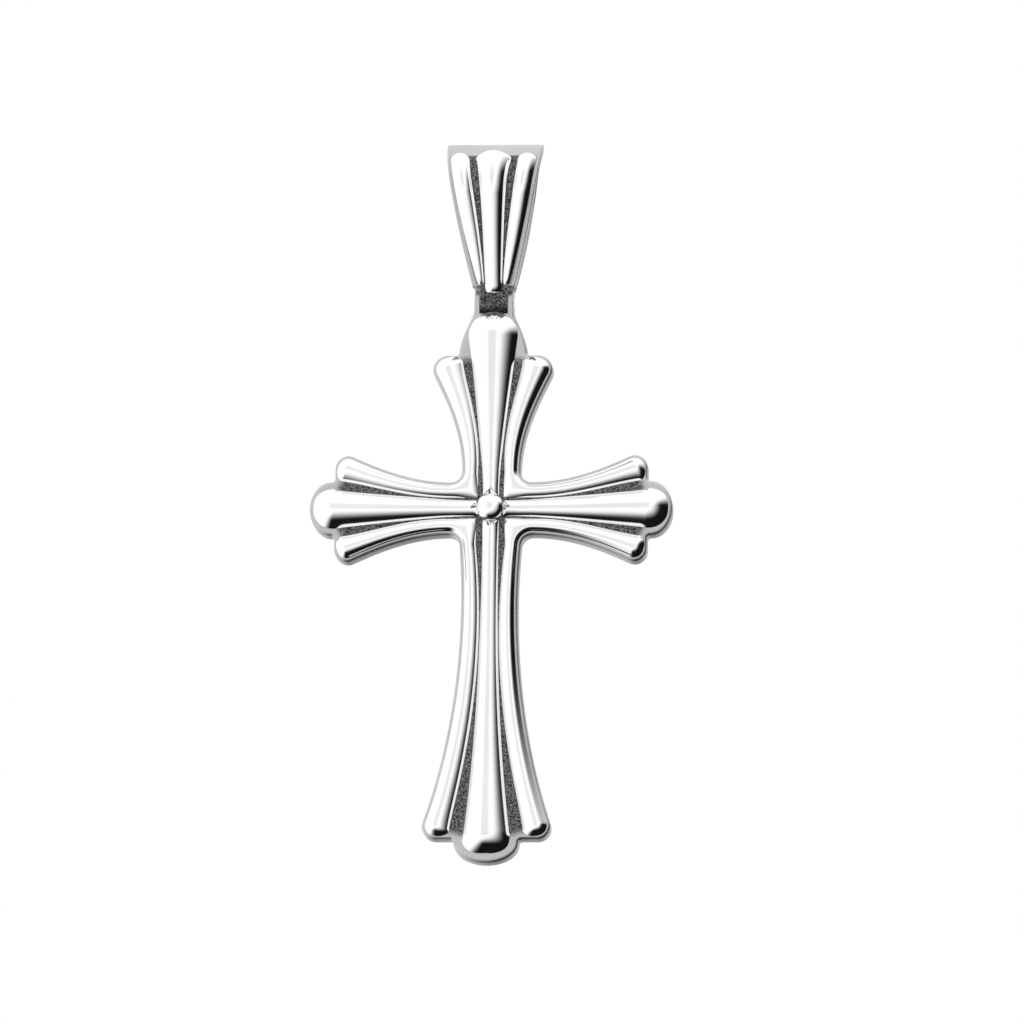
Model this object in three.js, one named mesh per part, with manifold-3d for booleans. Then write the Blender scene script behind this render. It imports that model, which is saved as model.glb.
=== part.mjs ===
// A polished cross pendant with three-lobed arms, hinged under a tapered fluted bail.
// Millimetres, +Z up, +X to the wearer's left, the front faces -Y.
// The origin is the chain seat: the middle of the inside of the bail's top.
import * as THREE from "three";
import { mergeVertices } from "three/addons/utils/BufferGeometryUtils.js";
import Module from "manifold-3d";

const wasm = await Module();
wasm.setup();

// ---- driving dimensions ----

// Arms of the cross, measured from the crossing's centre along the arm (reach, ...) and across it.
const ARMS = {
  up: {
    reach: 15.6, // to the end of the middle lobe
    lobeSetback: 4.57, // side lobe's centre, back from the end
    lobeSpread: 3.53, // side lobe's centre, out from the arm's axis
    lobeRadius: 1.12,
    flareDeg: 26.6, // slope of the arm's edge where it runs into the lobe
    rootHalf: 2.27, // half width of the arm where it leaves the crossing
    waistPull: 0, // how far the waist is drawn in
    rootHandle: 2.9, // how far the edge keeps straight at the root
    flareHandle: 2.2, // and at the lobe
    notchHalf: 2.64, // half width where the middle lobe leaves the side lobes
    ribRootHalf: 0.64, // half width of the middle moulding at the boss
    ribLobeHalf: 1.92, // and at its widest
    ribWidestBack: 1.95, // its widest place, back from the arm's end
    ribSwell: 1.1, // how late it swells: 1 is a straight taper
    ribBlunt: 2, // how blunt its end is: 2 is an ellipse
    ribHeight: 1.0,
    edgeSwell: 1.2, // how late the corner mouldings swell along this arm
    endRim: 0, // border left at the end of the middle lobe
  },
  down: {
    reach: 27.88,
    lobeSetback: 2.86,
    lobeSpread: 3.95,
    lobeRadius: 1.02,
    flareDeg: 18,
    rootHalf: 2.38,
    waistPull: 0.95,
    rootHandle: 11.9,
    flareHandle: 1.55,
    notchHalf: 2.5,
    ribRootHalf: 0.64,
    ribLobeHalf: 1.86,
    ribWidestBack: 2.1,
    ribSwell: 2.6,
    ribBlunt: 2.7,
    ribHeight: 1.0,
    edgeSwell: 0.8,
    endRim: 0.7,
  },
  side: {
    reach: 14.1,
    lobeSetback: 2.95,
    lobeSpread: 3.2,
    lobeRadius: 1.0,
    flareDeg: 25,
    rootHalf: 2.09,
    waistPull: 0,
    rootHandle: 2.9,
    flareHandle: 2.1,
    notchHalf: 2.13,
    ribRootHalf: 0.64,
    ribLobeHalf: 1.6,
    ribWidestBack: 1.9,
    ribSwell: 1.25,
    ribBlunt: 2.2,
    ribHeight: 1.0,
    edgeSwell: 1.8,
    endRim: 0.3,
  },
};
const CROSSING_FILLET = 0.9;
const NOTCH_FILLET = 0.28;
const PLATE_THICKNESS = 1.8;
const PLATE_BEVEL = 0.28;

const RIM = 0.26; // border left between the mouldings and the plate's edge
const CORNER_RIB_HALF = 0.39; // half width of a corner moulding at the crossing
const CORNER_RIB_HEIGHT = 0.34;
const CORNER_LOBE_HEIGHT = 0.56;
const CORNER_INNER_EXTRA = 0.22; // how much wider its inner side is at the crossing
const CORNER_INNER_SWELL = 0.55; // share by which its inner side is wider at the lobes
const CORNER_INNER_LATE = 4; // how near the lobe that widening comes
const LAID_GAP = 0.02; // solder line under every piece laid on another
const LEAST_SECTION = 0.08; // share of its section that a moulding keeps at a rounded end
const CROWN = 2; // how its section falls away from the crest: 1 is a half ellipse, 2 a parabola
const RIB_HEAD_HEIGHT = 0.5; // share of its height that a middle moulding keeps at its mitred head

const SEAT_REACH = 1.58; // boss seat, centre to each of its four points
const SEAT_HEIGHT = 0.3;
const BOSS_RADIUS = 1.08;
const BOSS_RISE = 0.85;
const BOSS_SHANK_RADIUS = 0.35;

const BAIL_TOP_HALF = 3.72; // half width of the bail at its top
const BAIL_FOOT_HALF = 1.4; // and where its sides would meet the hinge axis
const BAIL_BELLY = 0.34; // how far its sides bulge between them
const BAIL_BELLY_HIGH = 0.8; // below 1 the bulge is widest above the middle
const BAIL_CORNER = 0.3; // its cut top corners
const BAIL_BACK_TAPER = 0.18; // share by which the strap is narrower behind than in front
const BAIL_WALL = 0.7;
const CHAIN_ROOM = 2.8; // inside radius of the bail's top bend
const HINGE_DROP = 11.85; // hinge axis below the chain seat
const EYE_FOOT_RADIUS = 0.45; // inside radius at the foot of the bail's opening
const WEB = 0.5; // metal between that opening and the pin's bore
const KNUCKLE_RADIUS = 0.95;
const KNUCKLE_HALF = 1.08;
const CHEEK_THICKNESS = 0.38;
const PIN_RADIUS = 0.4;
const HINGE_PLAY = 0.04; // running clearance at the pin and beside the knuckle
const HINGE_AIR = 0.12; // room round the knuckle and over the cheeks
const TOP_LOBE_DROP = 0.92; // end of the upper arm's middle lobe, below the hinge axis
const NECK_LENGTH = 1.4; // how far the cheeks' neck reaches down into the upper lobe
const NECK_BEND = { start: 0.55, end: 0.72, ease: 0.3 }; // how the lobe's edge draws in to the cheeks
const FAR = 20; // reach of a cutting tool, past anything it cuts

const BEND_GAP = 0.03; // solder line under the flutes, over the one under every laid piece
const FLUTE_END_ROUND = 0.6; // length of a flute's rounded ends
const FLUTE_END_SQUARE = 0.4; // how square those ends are in front view: 1 is a round end
const FLUTE_START = 1.4; // top of the flutes, below the bail's top
const FLUTE_BORDER = 0.26; // strap left outside the outer flutes at their top
const FLUTE_FOOT_BORDER = 0.45; // and at their foot
const MIDDLE_FLUTE = {
  half: 1.6, // half width at the top
  footHalf: 0.62, // and at the foot
  drawsIn: 0.5, // how late it draws in: 1 is a straight taper
  height: 0.9,
  footHeight: 0.3,
  end: 0.5, // its foot, above the hinge axis
};
const SIDE_FLUTE = { half: 0.74, footHalf: 0.26, drawsIn: 2.2, height: 0.5, footHeight: 0.2, end: 1.12 };

// ---- places that follow from them ----

const HINGE_Z = -HINGE_DROP;
const CROSSING_Z = HINGE_Z - TOP_LOBE_DROP - ARMS.up.reach;
const PLATE_FRONT = -PLATE_THICKNESS / 2;
const CHEEK_OUT = KNUCKLE_HALF + HINGE_PLAY + CHEEK_THICKNESS;

// Facets and steps.
const ROUND = 24;
const SECTION_FACETS = 10;
const EDGE_STEPS = 9;
const NOTCH_STEPS = 3;
const FILLET_STEPS = 6;
const DOME_STEPS = 8;
const RIB_STEPS = 20;
const CORNER_STEPS = 10;
const CORNER_END_STEPS = 4;
const CORNER_FIRST_STEP = 0.25; // of a step, from the lobe's tip to the first section
const FLUTE_STEPS = 20;

// ---- solids ----

function solid(geometry) {
  const bare = geometry.clone();
  bare.deleteAttribute("normal");
  bare.deleteAttribute("uv");
  const merged = mergeVertices(bare, 1e-4);
  return new wasm.Manifold(
    new wasm.Mesh({
      numProp: 3,
      vertProperties: new Float32Array(merged.attributes.position.array),
      triVerts: new Uint32Array(merged.index.array),
    }),
  );
}

function geometryOf(made) {
  const mesh = made.getMesh();
  const geometry = new THREE.BufferGeometry();
  geometry.setAttribute("position", new THREE.BufferAttribute(new Float32Array(mesh.vertProperties), 3));
  geometry.setIndex(new THREE.BufferAttribute(new Uint32Array(mesh.triVerts), 1));
  return geometry;
}

const polished = () => new THREE.MeshStandardMaterial({ color: 0xdadcde, roughness: 0.08, metalness: 1 });
const satin = () => new THREE.MeshStandardMaterial({ color: 0xb4b6b8, roughness: 0.4, metalness: 1 });

const pendant = new THREE.Group();

function add(name, geometry, material) {
  const plain = geometry.index ? geometry.toNonIndexed() : geometry;
  plain.computeVertexNormals();
  const mesh = new THREE.Mesh(plain, material);
  mesh.name = name;
  pendant.add(mesh);
}

// A cylinder along X between two places, centred on the hinge axis or another (y, z).
function roundAlongX(radius, fromX, toX, y, z) {
  const geometry = new THREE.CylinderGeometry(radius, radius, toX - fromX, ROUND);
  geometry.rotateZ(-Math.PI / 2);
  geometry.translate((fromX + toX) / 2, y, z);
  return geometry;
}

function block(fromX, toX, fromY, toY, fromZ, toZ) {
  const geometry = new THREE.BoxGeometry(toX - fromX, toY - fromY, toZ - fromZ);
  geometry.translate((fromX + toX) / 2, (fromY + toY) / 2, (fromZ + toZ) / 2);
  return geometry;
}

// ---- the arm's edge ----

// A half arm in its own plane: x runs along the arm from the crossing's centre, y out from its axis.
function lobeCentre(arm) {
  return new THREE.Vector2(arm.reach - arm.lobeSetback, arm.lobeSpread);
}

function flareCurve(arm, startAlong) {
  const flare = THREE.MathUtils.degToRad(arm.flareDeg);
  const meets = lobeCentre(arm).add(
    new THREE.Vector2(-Math.sin(flare), Math.cos(flare)).multiplyScalar(arm.lobeRadius),
  );
  return new THREE.CubicBezierCurve(
    new THREE.Vector2(startAlong, arm.rootHalf),
    new THREE.Vector2(startAlong + arm.rootHandle, arm.rootHalf - arm.waistPull),
    new THREE.Vector2(
      meets.x - arm.flareHandle * Math.cos(flare),
      meets.y - arm.flareHandle * Math.sin(flare),
    ),
    meets,
  );
}

// The edge from the root, round the side lobe and into the notch.
function sideEdge(arm, startAlong) {
  const lobe = lobeCentre(arm);
  const flare = THREE.MathUtils.degToRad(arm.flareDeg);
  const shoulder = lobe.x + arm.lobeRadius;
  return [
    ...flareCurve(arm, startAlong).getPoints(EDGE_STEPS),
    ...new THREE.EllipseCurve(
      lobe.x, lobe.y, arm.lobeRadius, arm.lobeRadius, Math.PI / 2 + flare, 0, true,
    ).getPoints(EDGE_STEPS).slice(1),
    ...new THREE.EllipseCurve(
      shoulder + NOTCH_FILLET, arm.notchHalf + NOTCH_FILLET, NOTCH_FILLET, NOTCH_FILLET,
      -Math.PI, -Math.PI / 2, false,
    ).getPoints(NOTCH_STEPS),
  ];
}

// The middle lobe's end: a half ellipse from the notch to the arm's axis.
function roundEnd(arm) {
  const from = arm.reach - arm.lobeSetback + arm.lobeRadius + NOTCH_FILLET;
  return new THREE.EllipseCurve(
    from, 0, arm.reach - from, arm.notchHalf, Math.PI / 2, 0, true,
  ).getPoints(EDGE_STEPS).slice(1);
}

// The upper arm's end instead draws in to the hinge cheeks, beside the knuckle.
function cheekEnd(arm) {
  const from = new THREE.Vector2(
    arm.reach - arm.lobeSetback + arm.lobeRadius + NOTCH_FILLET, arm.notchHalf,
  );
  const to = new THREE.Vector2(arm.reach + TOP_LOBE_DROP - KNUCKLE_RADIUS / 2, CHEEK_OUT);
  const curve = new THREE.CubicBezierCurve(
    from,
    new THREE.Vector2(THREE.MathUtils.lerp(from.x, to.x, NECK_BEND.start), arm.notchHalf - NECK_BEND.ease),
    new THREE.Vector2(THREE.MathUtils.lerp(from.x, to.x, NECK_BEND.end), CHEEK_OUT),
    to,
  );
  return [...curve.getPoints(EDGE_STEPS).slice(1), new THREE.Vector2(to.x, 0)];
}

// ---- the plate's outline ----

// Each quarter of the outline: up the vertical arm's edge and back in along the side arm's.
function quarter(vertical, vSign, hSign) {
  const startUp = ARMS.side.rootHalf + CROSSING_FILLET;
  const startOut = vertical.rootHalf + CROSSING_FILLET;
  const fillet = new THREE.EllipseCurve(
    startOut, startUp, CROSSING_FILLET, CROSSING_FILLET, -Math.PI / 2, -Math.PI, true,
  ).getPoints(FILLET_STEPS);
  const sideHalf = [...sideEdge(ARMS.side, startOut), ...roundEnd(ARMS.side)];
  const endOf = vertical === ARMS.up ? cheekEnd : roundEnd;
  const verticalHalf = [...sideEdge(vertical, startUp), ...endOf(vertical)];
  const points = [
    ...sideHalf.reverse(),
    ...fillet.slice(1, -1),
    ...verticalHalf.map((p) => new THREE.Vector2(p.y, p.x)),
  ];
  return points.map((p) => new THREE.Vector2(p.x * hSign, p.y * vSign));
}

function plateOutline() {
  const upRight = quarter(ARMS.up, 1, 1);
  const upLeft = quarter(ARMS.up, 1, -1).reverse();
  const downLeft = quarter(ARMS.down, -1, -1);
  const downRight = quarter(ARMS.down, -1, 1).reverse();
  return [...upRight, ...upLeft.slice(1), ...downLeft.slice(1), ...downRight.slice(1, -1)];
}

// Turns a shape drawn in the front plane (x, height from the crossing) to stand in X and Z.
function standUp(geometry, backY) {
  geometry.rotateX(Math.PI / 2);
  geometry.translate(0, backY, CROSSING_Z);
  return geometry;
}

function backPlate() {
  const outline = plateOutline();
  const inset = PLATE_BEVEL;
  const slab = new THREE.ExtrudeGeometry(new THREE.Shape(outline), {
    depth: PLATE_THICKNESS - 2 * inset,
    bevelThickness: inset,
    bevelSize: inset,
    bevelOffset: -inset,
    bevelSegments: 1,
    steps: 1,
  });
  const plate = solid(standUp(slab, PLATE_THICKNESS / 2 - inset));
  const cheeks = solid(roundAlongX(KNUCKLE_RADIUS, -CHEEK_OUT, CHEEK_OUT, 0, HINGE_Z));
  const neck = solid(
    block(-CHEEK_OUT, CHEEK_OUT, PLATE_FRONT, -PLATE_FRONT, HINGE_Z - NECK_LENGTH, HINGE_Z),
  );
  const slotHalf = KNUCKLE_HALF + HINGE_PLAY;
  const slotFloor = HINGE_Z - KNUCKLE_RADIUS - HINGE_AIR;
  const slot = solid(block(-slotHalf, slotHalf, -FAR, FAR, slotFloor, HINGE_Z + FAR));
  const pinHole = solid(roundAlongX(PIN_RADIUS + LAID_GAP, -FAR, FAR, 0, HINGE_Z));
  const shankHole = solid(alongY(BOSS_SHANK_RADIUS + LAID_GAP, -FAR, FAR));
  return geometryOf(plate.add(neck).add(cheeks).subtract(slot).subtract(pinHole).subtract(shankHole));
}

// A cylinder through the crossing's centre, front to back.
function alongY(radius, fromY, toY) {
  const geometry = new THREE.CylinderGeometry(radius, radius, toY - fromY, ROUND);
  geometry.translate(0, (fromY + toY) / 2, CROSSING_Z);
  return geometry;
}

// ---- mouldings ----

// A domed moulding laid along stations: each has a place on the ground, the direction to its
// left, the direction off the ground, its half widths left and right, and its height.
// A sphere's poles become the two ends, and its rings become the sections between them.
function moulding(stations) {
  const rings = stations.length;
  const geometry = new THREE.SphereGeometry(1, SECTION_FACETS, rings + 1);
  const position = geometry.attributes.position;
  const vertex = new THREE.Vector3();
  for (let i = 0; i < position.count; i++) {
    vertex.fromBufferAttribute(position, i);
    const ring = Math.round((Math.acos(THREE.MathUtils.clamp(vertex.y, -1, 1)) / Math.PI) * (rings + 1));
    const at = stations[THREE.MathUtils.clamp(ring - 1, 0, rings - 1)];
    const pole = ring === 0 || ring === rings + 1;
    const reach = Math.hypot(vertex.x, vertex.z) || 1;
    const across = pole ? 0 : vertex.x / reach;
    const rise = pole ? 0 : Math.max(0, vertex.z / reach);
    const half = across > 0 ? at.left : at.right;
    vertex
      .copy(at.place)
      .addScaledVector(at.leftward, across * half)
      .addScaledVector(at.off, LAID_GAP + rise ** CROWN * at.height);
    position.setXYZ(i, vertex.x, vertex.y, vertex.z);
  }
  return geometry;
}

const OFF_PLATE = new THREE.Vector3(0, -1, 0);

function onPlate(x, up) {
  return new THREE.Vector3(x, PLATE_FRONT, CROSSING_Z + up);
}

// The share of its full section that a rounded end keeps, "left" of the end along the moulding.
function roundedEnd(left, length) {
  const share = THREE.MathUtils.clamp(left / length, 0, 1);
  return Math.max(LEAST_SECTION, Math.sqrt(1 - (1 - share) ** 2));
}

// Middle moulding of an arm: out of the boss as a narrow rib, swelling to a rounded lobe.
function centreRib(arm, turn) {
  const start = SEAT_REACH + LAID_GAP;
  const mitre = arm.ribRootHalf;
  const end = arm.reach - arm.endRim;
  const widest = arm.reach - arm.ribWidestBack;
  const along = (t) => new THREE.Vector3(Math.sin(turn), 0, Math.cos(turn)).multiplyScalar(t);
  const leftward = new THREE.Vector3(-Math.cos(turn), 0, Math.sin(turn));
  const stations = [];
  for (let i = 0; i <= RIB_STEPS; i++) {
    const t = start + ((end - start) * i) / RIB_STEPS;
    const share = THREE.MathUtils.clamp((t - start - mitre) / (widest - start - mitre), 0, 1);
    const swell = share ** arm.ribSwell;
    const past = Math.max(0, (t - widest) / (end - widest));
    const tail = Math.max(LEAST_SECTION, (1 - past ** arm.ribBlunt) ** (1 / arm.ribBlunt));
    const head = THREE.MathUtils.clamp((t - start) / mitre, LEAST_SECTION, 1);
    const half = THREE.MathUtils.lerp(arm.ribRootHalf, arm.ribLobeHalf, swell) * tail * head;
    const fall = Math.max(LEAST_SECTION, 1 - past ** CROWN);
    const height = THREE.MathUtils.lerp(CORNER_RIB_HEIGHT, arm.ribHeight, swell) * fall;
    stations.push({
      place: onPlate(0, 0).add(along(t)),
      leftward,
      off: OFF_PLATE,
      left: half,
      right: half,
      height: height * Math.max(head, RIB_HEAD_HEIGHT),
    });
  }
  return moulding(stations);
}

// Half of a corner moulding's run: from the lobe's end, back along the arm's edge to its root.
function cornerRun(arm, startAlong) {
  const lobe = lobeCentre(arm);
  const lobeHalf = arm.lobeRadius - RIM;
  const flare = THREE.MathUtils.degToRad(arm.flareDeg);
  const forward = new THREE.Vector2(Math.cos(flare), Math.sin(flare));
  const run = [];
  for (let i = 0; i < CORNER_END_STEPS; i++) {
    const past = lobeHalf * Math.cos(((i + CORNER_FIRST_STEP) / CORNER_END_STEPS) * (Math.PI / 2));
    const share = roundedEnd(lobeHalf - past, lobeHalf);
    run.push({
      at: lobe.clone().addScaledVector(forward, past),
      heading: forward,
      outer: lobeHalf * share,
      inner: lobeHalf * (1 + CORNER_INNER_SWELL) * share,
      height: CORNER_LOBE_HEIGHT * share ** CROWN,
    });
  }
  const edge = flareCurve(arm, startAlong);
  for (let i = 0; i <= CORNER_STEPS; i++) {
    const u = 1 - i / CORNER_STEPS;
    const heading = edge.getTangent(u);
    const inward = new THREE.Vector2(heading.y, -heading.x);
    const swell = u ** arm.edgeSwell;
    const half = THREE.MathUtils.lerp(CORNER_RIB_HALF, lobeHalf, swell);
    const fuller = THREE.MathUtils.lerp(
      CORNER_INNER_EXTRA, CORNER_INNER_SWELL * lobeHalf, u ** CORNER_INNER_LATE,
    );
    run.push({
      at: edge.getPoint(u).addScaledVector(inward, RIM + half),
      heading,
      outer: half,
      inner: half + fuller,
      height: THREE.MathUtils.lerp(CORNER_RIB_HEIGHT, CORNER_LOBE_HEIGHT, swell),
    });
  }
  return run;
}

// Corner moulding: from the vertical arm's side lobe, round the crossing, to the side arm's.
function cornerRib(vertical, vSign, hSign) {
  const startUp = ARMS.side.rootHalf + CROSSING_FILLET;
  const startOut = vertical.rootHalf + CROSSING_FILLET;
  const stations = [];
  const put = (x, up, headX, headUp, left, right, height) => {
    const heading = new THREE.Vector3(headX * hSign, 0, headUp * vSign);
    const leftward = new THREE.Vector3().crossVectors(OFF_PLATE, heading).normalize();
    const swap = hSign * vSign < 0;
    stations.push({
      place: onPlate(x * hSign, up * vSign),
      leftward,
      off: OFF_PLATE,
      left: swap ? right : left,
      right: swap ? left : right,
      height,
    });
  };
  for (const s of cornerRun(vertical, startUp)) {
    put(s.at.y, s.at.x, -s.heading.y, -s.heading.x, s.outer, s.inner, s.height);
  }
  const crest = CROSSING_FILLET + RIM + CORNER_RIB_HALF;
  const inner = crest + CORNER_RIB_HALF + CORNER_INNER_EXTRA;
  for (let i = 1; i < FILLET_STEPS; i++) {
    const turn = (Math.PI / 2) * (i / FILLET_STEPS);
    const x = startOut - crest * Math.cos(turn);
    const up = startUp - crest * Math.sin(turn);
    const toCorner = inner / Math.max(Math.cos(turn), Math.sin(turn)) - crest;
    put(x, up, Math.sin(turn), -Math.cos(turn), CORNER_RIB_HALF, toCorner, CORNER_RIB_HEIGHT);
  }
  for (const s of cornerRun(ARMS.side, startOut).reverse()) {
    put(s.at.x, s.at.y, s.heading.x, s.heading.y, s.outer, s.inner, s.height);
  }
  return moulding(stations);
}

// ---- boss ----

// Four-pointed seat: a low square pyramid cut off under the boss, its points on the arms' axes.
function bossSeat() {
  const cone = new THREE.CylinderGeometry(SEAT_REACH, BOSS_RADIUS, SEAT_HEIGHT, 4);
  cone.translate(0, PLATE_FRONT - LAID_GAP - SEAT_HEIGHT / 2, CROSSING_Z);
  const hole = solid(alongY(BOSS_SHANK_RADIUS + LAID_GAP, -FAR, FAR));
  return geometryOf(solid(cone).subtract(hole));
}

// Domed stud: its shank goes through the seat and the plate and is closed flush behind.
function bossStud() {
  const under = SEAT_HEIGHT + 2 * LAID_GAP;
  const dome = new THREE.EllipseCurve(0, under, BOSS_RADIUS, BOSS_RISE, 0, Math.PI / 2);
  const profile = [
    new THREE.Vector2(0, -PLATE_THICKNESS),
    new THREE.Vector2(BOSS_SHANK_RADIUS, -PLATE_THICKNESS),
    new THREE.Vector2(BOSS_SHANK_RADIUS, under),
    new THREE.Vector2(BOSS_RADIUS, under),
    ...dome.getPoints(DOME_STEPS).slice(1),
  ];
  profile[profile.length - 1].x = 0;
  const stud = new THREE.LatheGeometry(profile, ROUND);
  stud.rotateX(Math.PI);
  stud.translate(0, PLATE_FRONT, CROSSING_Z);
  return stud;
}

// ---- bail ----

// Side view of the bail's outer face as (front, up): the top bend, the straight leaf, the knuckle.
const BEND_Z = -CHAIN_ROOM;
const BEND_OUT = CHAIN_ROOM + BAIL_WALL;
const LEAF_TILT = Math.asin((BEND_OUT - KNUCKLE_RADIUS) / (BEND_Z - HINGE_Z));
const BAIL_TOP_Z = BAIL_WALL;

function bailLoopShape() {
  const shape = new THREE.Shape();
  shape.absarc(0, BEND_Z, BEND_OUT, -LEAF_TILT, Math.PI + LEAF_TILT, false);
  shape.absarc(0, HINGE_Z, KNUCKLE_RADIUS, Math.PI + LEAF_TILT, -LEAF_TILT, false);
  const foot = HINGE_Z + PIN_RADIUS + HINGE_PLAY + WEB + EYE_FOOT_RADIUS;
  const tilt = Math.asin((CHAIN_ROOM - EYE_FOOT_RADIUS) / (BEND_Z - foot));
  const eye = new THREE.Path();
  eye.absarc(0, BEND_Z, CHAIN_ROOM, -tilt, Math.PI + tilt, false);
  eye.absarc(0, foot, EYE_FOOT_RADIUS, Math.PI + tilt, -tilt, false);
  shape.holes.push(eye);
  return shape;
}

// Front view of the bail: a tapering strap with cut top corners.
function bailHalfWidth(z) {
  const share = (BAIL_TOP_Z - z) / (BAIL_TOP_Z - HINGE_Z);
  const bulge = Math.sin(Math.PI * THREE.MathUtils.clamp(share, 0, 1) ** BAIL_BELLY_HIGH);
  return THREE.MathUtils.lerp(BAIL_TOP_HALF, BAIL_FOOT_HALF, share) + BAIL_BELLY * bulge;
}

function bailFrontShape() {
  const foot = HINGE_Z - 2 * KNUCKLE_RADIUS;
  const right = [new THREE.Vector2(bailHalfWidth(BAIL_TOP_Z) - BAIL_CORNER, BAIL_TOP_Z + LAID_GAP)];
  for (let i = 0; i <= EDGE_STEPS; i++) {
    const z = THREE.MathUtils.lerp(BAIL_TOP_Z - BAIL_CORNER, foot, i / EDGE_STEPS);
    right.push(new THREE.Vector2(bailHalfWidth(z), z));
  }
  const left = right.map((p) => new THREE.Vector2(-p.x, p.y)).reverse();
  return new THREE.Shape([...right, ...left]);
}

function bailLoop() {
  const across = new THREE.ExtrudeGeometry(bailLoopShape(), {
    depth: 2 * FAR,
    bevelEnabled: false,
    curveSegments: 16,
  });
  across.rotateX(Math.PI / 2);
  across.rotateZ(Math.PI / 2);
  across.translate(-FAR, 0, 0);
  const front = new THREE.ExtrudeGeometry(bailFrontShape(), { depth: 2 * FAR, bevelEnabled: false });
  front.rotateX(Math.PI / 2);
  front.translate(0, FAR, 0);
  const strap = solid(across).intersect(solid(front)).warp((at) => {
    at[0] *= 1 - BAIL_BACK_TAPER * THREE.MathUtils.smoothstep(at[1], -KNUCKLE_RADIUS, BEND_OUT);
  });
  const shoulder = HINGE_Z + KNUCKLE_RADIUS + HINGE_AIR;
  const besideRight = solid(block(KNUCKLE_HALF, FAR, -FAR, FAR, HINGE_Z - FAR, shoulder));
  const besideLeft = solid(block(-FAR, -KNUCKLE_HALF, -FAR, FAR, HINGE_Z - FAR, shoulder));
  const bore = solid(roundAlongX(PIN_RADIUS + HINGE_PLAY, -FAR, FAR, 0, HINGE_Z));
  return geometryOf(strap.subtract(besideRight).subtract(besideLeft).subtract(bore));
}

// A place on the bail's front face, a length down the face from the flutes' top.
function onBail(length) {
  const topLean = Math.asin((BAIL_TOP_Z - FLUTE_START - BEND_Z) / BEND_OUT);
  const bendLength = BEND_OUT * (topLean + LEAF_TILT);
  const lean = Math.max(topLean - length / BEND_OUT, -LEAF_TILT);
  const down = Math.max(0, length - bendLength);
  const off = new THREE.Vector3(0, -Math.cos(lean), Math.sin(lean));
  const y = -BEND_OUT * Math.cos(lean) + down * Math.sin(LEAF_TILT);
  const z = BEND_Z + BEND_OUT * Math.sin(lean) - down * Math.cos(LEAF_TILT);
  return { y, z, off, bendLength };
}

// The whole length of a flute, down the bend and the straight leaf to its foot above the hinge.
function fluteLength(size) {
  const { bendLength } = onBail(0);
  const bendFoot = BEND_Z - BEND_OUT * Math.sin(LEAF_TILT);
  return bendLength + (bendFoot - HINGE_Z - size.end) / Math.cos(LEAF_TILT);
}

// A flute of the bail's front. side is 0 for the middle one and 1 or -1 for an outer one, which
// keeps its distance from the strap's edge.
function flute(side, size) {
  const whole = fluteLength(size);
  const stations = [];
  for (let i = 0; i <= FLUTE_STEPS; i++) {
    const share = i / FLUTE_STEPS;
    const { y, z, off } = onBail(share * whole);
    const end = roundedEnd(Math.min(share, 1 - share) * whole, FLUTE_END_ROUND);
    const half = THREE.MathUtils.lerp(size.half, size.footHalf, share ** size.drawsIn);
    const border = THREE.MathUtils.lerp(FLUTE_BORDER, FLUTE_FOOT_BORDER, share);
    const centre = side * (bailHalfWidth(z) - border - half);
    const wide = half * end ** FLUTE_END_SQUARE;
    stations.push({
      place: new THREE.Vector3(centre, y, z).addScaledVector(off, BEND_GAP),
      leftward: new THREE.Vector3(1, 0, 0),
      off,
      left: wide,
      right: wide,
      height: THREE.MathUtils.lerp(size.height, size.footHeight, share) * end,
    });
  }
  return moulding(stations);
}

// ---- assembly ----

add("back_plate", backPlate(), satin());
add("centre_rib_up", centreRib(ARMS.up, 0), polished());
add("centre_rib_right", centreRib(ARMS.side, Math.PI / 2), polished());
add("centre_rib_down", centreRib(ARMS.down, Math.PI), polished());
add("centre_rib_left", centreRib(ARMS.side, -Math.PI / 2), polished());
for (const [vertical, vSign, place] of [[ARMS.up, 1, "upper"], [ARMS.down, -1, "lower"]]) {
  add("corner_rib_" + place + "_right", cornerRib(vertical, vSign, 1), polished());
  add("corner_rib_" + place + "_left", cornerRib(vertical, vSign, -1), polished());
}
add("boss_seat", bossSeat(), polished());
add("boss_stud", bossStud(), polished());
add("hinge_pin", roundAlongX(PIN_RADIUS, -CHEEK_OUT, CHEEK_OUT, 0, HINGE_Z), polished());
add("bail_loop", bailLoop(), satin());
add("bail_flute_middle", flute(0, MIDDLE_FLUTE), polished());
add("bail_flute_right", flute(1, SIDE_FLUTE), polished());
add("bail_flute_left", flute(-1, SIDE_FLUTE), polished());

export default pendant;
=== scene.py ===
import math

import bmesh
import bpy
from mathutils import Matrix, Quaternion, Vector, geometry, kdtree


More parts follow.
